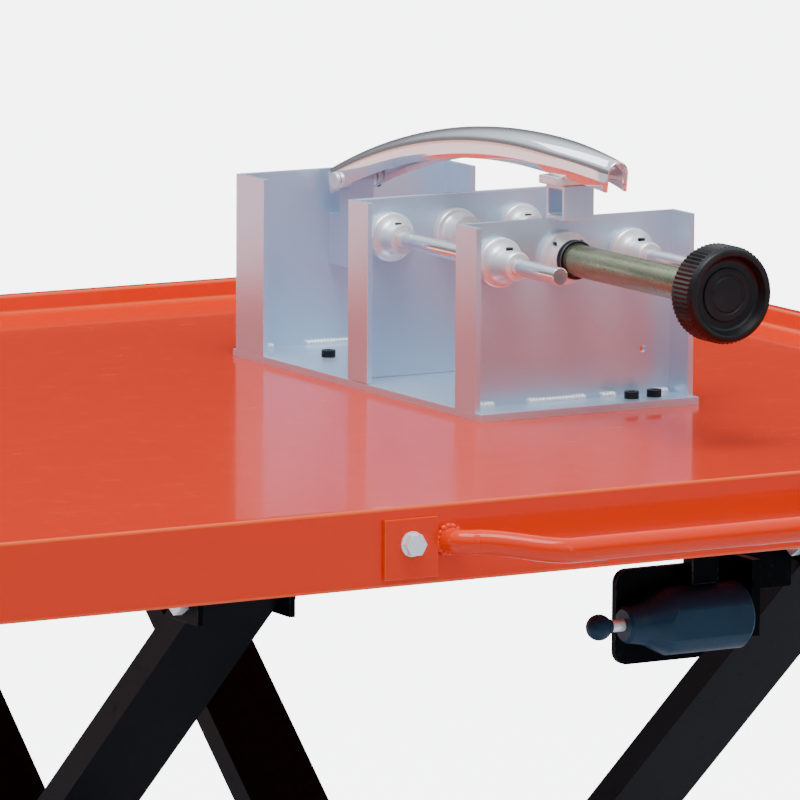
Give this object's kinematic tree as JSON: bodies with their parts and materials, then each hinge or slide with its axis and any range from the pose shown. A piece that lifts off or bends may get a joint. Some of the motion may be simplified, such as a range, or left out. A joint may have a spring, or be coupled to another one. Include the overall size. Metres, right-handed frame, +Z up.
{
  "type": "bench bender",
  "caption": "Hand-operated bench bender: a sliding clamp jaw between fixed posts with a hand lever, on a tray table with crossed legs.",
  "frame": {"origin": "on the floor, under the middle of the whole object's box", "axes": "+X to the right along the posts, +Y away from the handwheel towards the rear rim, +Z up"},
  "size_m": [1.006, 1.005, 0.964],
  "materials": {
    "orange_paint": "glossy orange powder coat",
    "alloy": "satin mill-finish aluminium plate",
    "chrome": "polished chrome plate",
    "zinc": "bright zinc-plated steel",
    "yellow_zinc": "yellow-passivated zinc on a turned steel tube",
    "black_oxide": "black oxide steel",
    "wheel_plastic": "black moulded phenolic with a knurled rim",
    "black_paint": "satin black paint",
    "blue_paint": "dark blue paint on a casting",
    "rubber": "moulded black rubber"
  },
  "bodies": {
    "table": {"tray_deck": "orange_paint", "rim_front": "orange_paint", "rim_rear": "orange_paint", "rim_left": "orange_paint", "rim_right": "orange_paint", "tray_stiffeners": "orange_paint", "handle_bar": "orange_paint", "handle_tabs": "orange_paint", "handle_bolts": "zinc", "handle_nuts": "zinc", "base_plate": "alloy", "base_bolts": "black_oxide", "base_nuts": "zinc", "front_post": "alloy", "rear_post": "alloy", "post_welds": "zinc", "guide_bushes": "zinc", "bush_screws": "black_oxide", "thrust_flange": "zinc", "flange_screws": "black_oxide", "lever_bracket": "alloy", "bracket_screws": "zinc", "lever_pin": "zinc", "lever_spacers": "zinc", "pin_clip": "black_oxide", "rest_block": "alloy", "rest_pad": "zinc", "front_legs": "black_paint", "rear_legs": "black_paint", "leg_brackets": "black_paint", "bracket_bolts": "zinc", "leg_bolts": "zinc", "pivot_bolts": "zinc", "pivot_washers": "zinc", "foot_tubes": "black_paint", "rubber_feet": "rubber", "foot_plugs": "rubber", "stretchers": "black_paint", "lock_post": "black_paint", "lock_plate": "black_paint", "lock_arm": "black_paint", "lock_housing": "blue_paint", "lock_screws": "zinc", "lock_spring": "zinc"},
    "jaw": {"jaw_post": "alloy", "guide_rods": "chrome", "jaw_screw": "chrome", "rod_collars": "zinc", "collar_screws": "black_oxide"},
    "spindle": {"sleeve": "yellow_zinc", "thrust_ring": "black_oxide", "retaining_ring": "black_oxide", "handwheel": "wheel_plastic", "wheel_cap": "wheel_plastic", "wheel_screw": "zinc"},
    "lever": {"lever": "chrome"},
    "plunger": {"lock_plunger": "zinc", "plunger_ball": "blue_paint"}
  },
  "joints": [
    {"name": "sleeve_spin", "type": "hinge", "parent": "table", "child": "spindle", "pos_m": [0.157, -0.2, 0.883], "axis": [0, 1, 0], "range_deg": [-5401, 3961]},
    {"name": "jaw_slide", "type": "slide", "parent": "table", "child": "jaw", "axis": [0, 1, 0], "range_m": [-0.075, 0.055]},
    {"name": "lever_pivot", "type": "hinge", "parent": "table", "child": "lever", "pos_m": [0.157, 0.19975, 0.90436], "axis": [-1, 0, 0], "range_deg": [0, 72]},
    {"name": "lock_pull", "type": "slide", "parent": "table", "child": "plunger", "axis": [-1, 0, 0], "range_m": [0, 0.008], "stiffness_N_per_m": 900, "springref_m": -0.01, "deforming": ["lock_spring"]}
  ],
  "couplings": [
    {"joint": "sleeve_spin", "follows": "jaw_slide", "rad_per_m": 1256.6}
  ]
}
